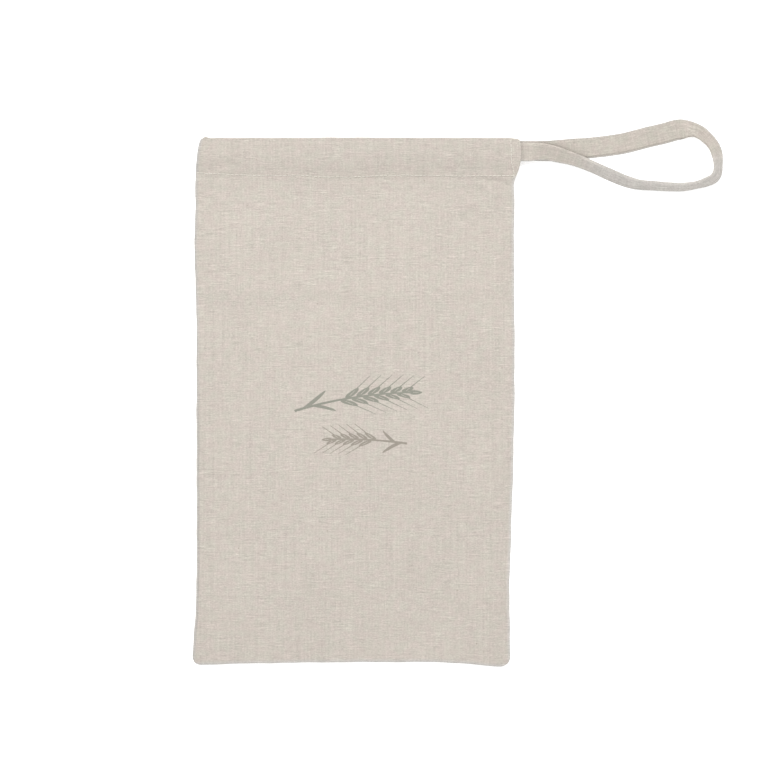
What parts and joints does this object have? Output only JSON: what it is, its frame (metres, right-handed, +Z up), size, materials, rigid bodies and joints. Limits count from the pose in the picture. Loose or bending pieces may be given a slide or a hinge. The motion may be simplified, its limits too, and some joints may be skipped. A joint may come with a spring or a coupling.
{
  "type": "linen drawstring bread bag",
  "caption": "Flat linen drawstring bag for bread, seamed down both sides, with a hemmed casing and a flat linen tape whose loop hangs out at one end.",
  "frame": {"origin": "the middle of the bag, on the surface that its back lies on", "axes": "+Z up out of the printed front, +Y from the foot to the mouth, +X towards the end of the casing where the tape comes out"},
  "size_m": [0.4242, 0.4361, 0.0148],
  "materials": {
    "front_linen": "plain-woven natural linen, matt, with slubs and a small two-colour print",
    "back_linen": "plain-woven natural linen, matt, with slubs",
    "tape_linen": "the same linen folded into a flat tape and edge stitched"
  },
  "bodies": {
    "root": {"front_panel": "front_linen", "back_panel": "back_linen", "drawstring_tape": "tape_linen"}
  },
  "joints": []
}
